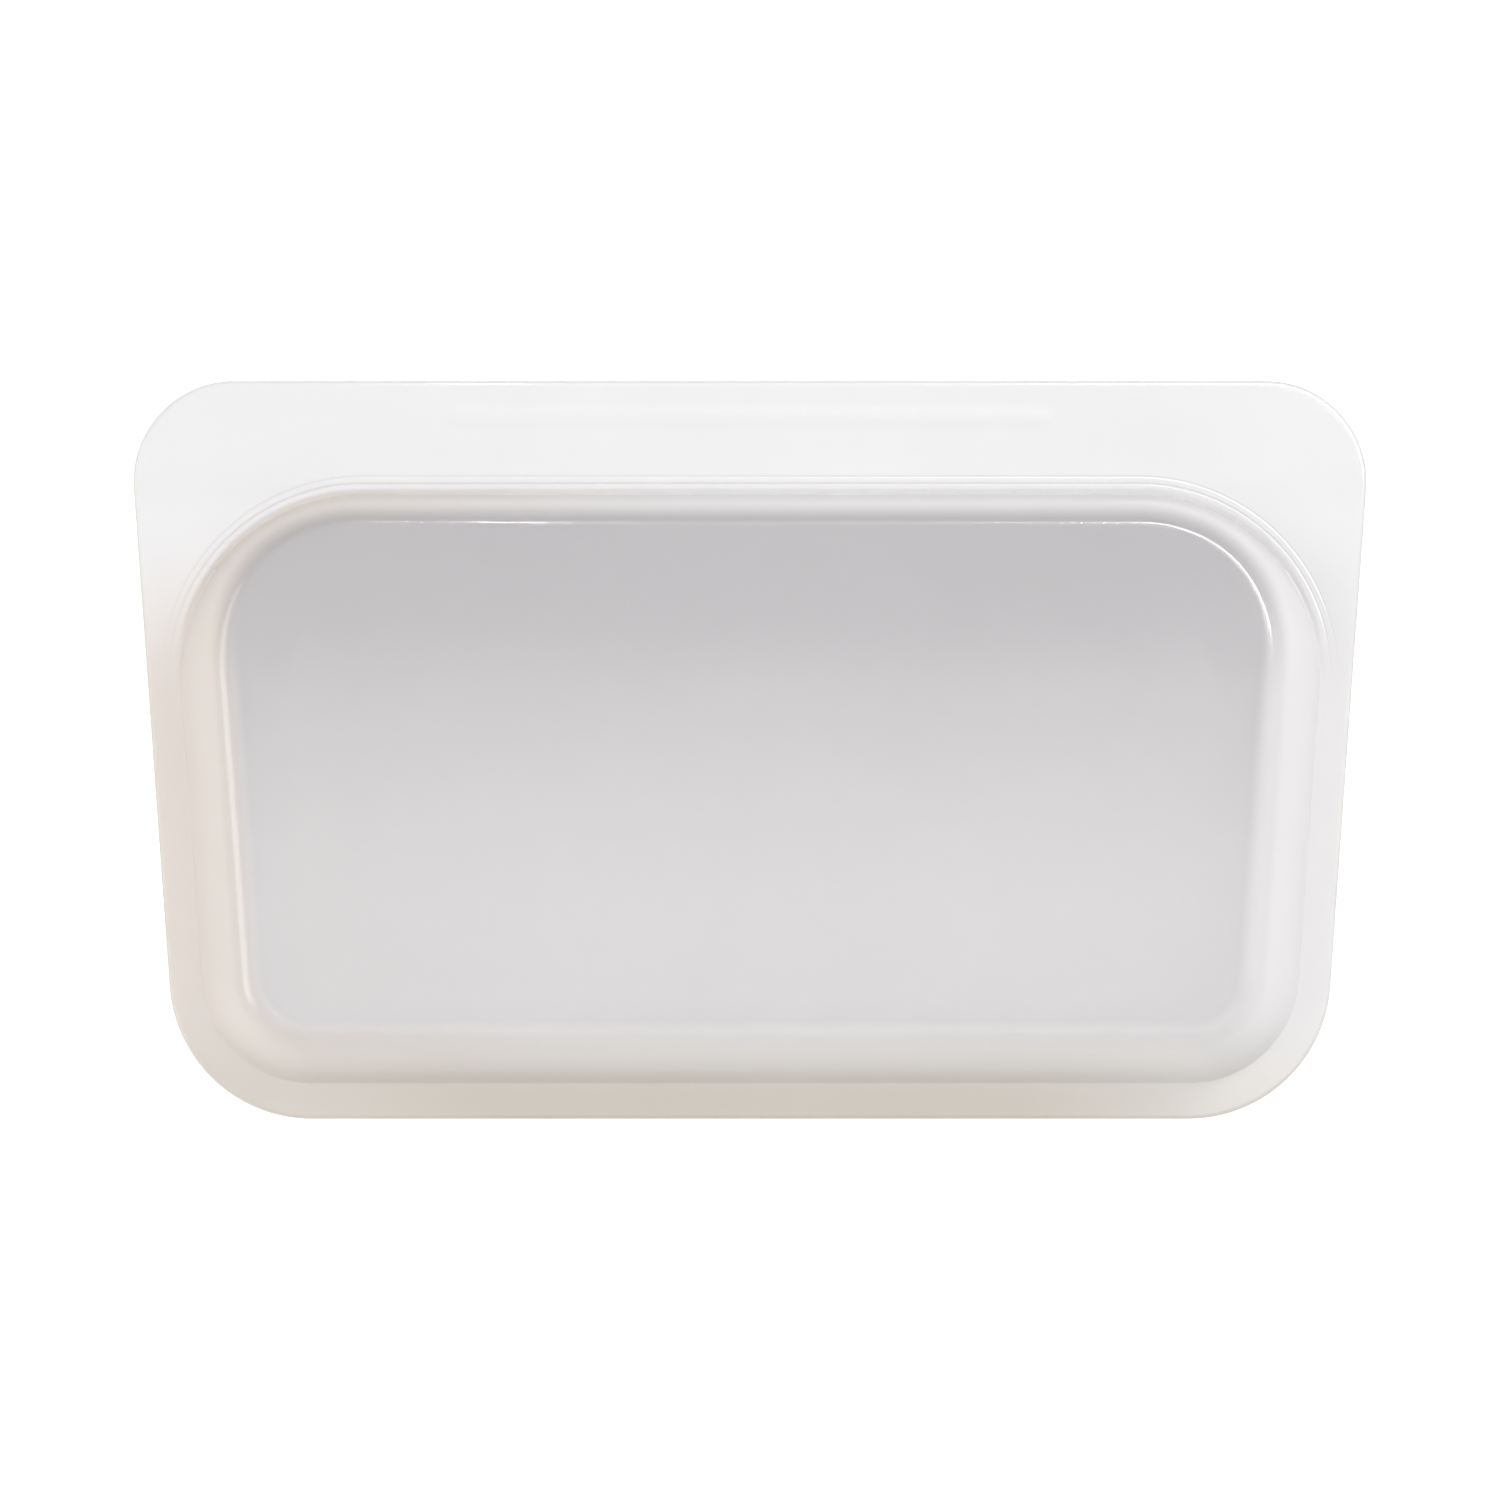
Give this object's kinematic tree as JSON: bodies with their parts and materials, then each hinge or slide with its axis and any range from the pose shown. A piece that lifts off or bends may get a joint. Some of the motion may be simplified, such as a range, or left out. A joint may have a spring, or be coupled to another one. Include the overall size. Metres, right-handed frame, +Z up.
{
  "type": "reusable silicone bag",
  "caption": "Flat translucent silicone food bag: dished pocket, bonded side and bottom seam, pinch seal that curls round the corners, grip bars, and lips that open and curl back.",
  "frame": {"origin": "centre of the bounding box's underside, on the flat of the back wall", "axes": "+X across the bag's width, +Y from the bottom edge out through the mouth, +Z up from the back wall to the front wall"},
  "size_m": [0.1904, 0.114, 0.022],
  "materials": {
    "pocket_silicone": "satin translucent silicone, thin wall",
    "border_silicone": "satin milky silicone, doubled wall",
    "seal_silicone": "satin milky silicone"
  },
  "bodies": {
    "bag_body": {"back_wall": "pocket_silicone", "front_wall": "pocket_silicone", "side_and_bottom_seam": "border_silicone", "seal_channel": "seal_silicone"},
    "front_mouth": {"front_mouth_wall": "pocket_silicone", "seal_tongue": "seal_silicone"},
    "front_lip": {"front_rim": "border_silicone", "front_grip_bar": "border_silicone"},
    "back_lip": {"back_rim": "border_silicone", "back_grip_bar": "border_silicone"}
  },
  "joints": [
    {"name": "mouth_open", "type": "hinge", "parent": "bag_body", "child": "front_mouth", "pos_m": [0, 0.016, 0.022], "axis": [1, 0, 0], "range_deg": [0, 35], "stiffness_Nm_per_rad": 0.03},
    {"name": "front_lip_curl", "type": "hinge", "parent": "front_mouth", "child": "front_lip", "pos_m": [0, 0.048, 0.0125], "axis": [1, 0, 0], "range_deg": [0, 60], "stiffness_Nm_per_rad": 0.02},
    {"name": "back_lip_curl", "type": "hinge", "parent": "bag_body", "child": "back_lip", "pos_m": [0, 0.048, 0.0095], "axis": [-1, 0, 0], "range_deg": [0, 60], "stiffness_Nm_per_rad": 0.02}
  ]
}
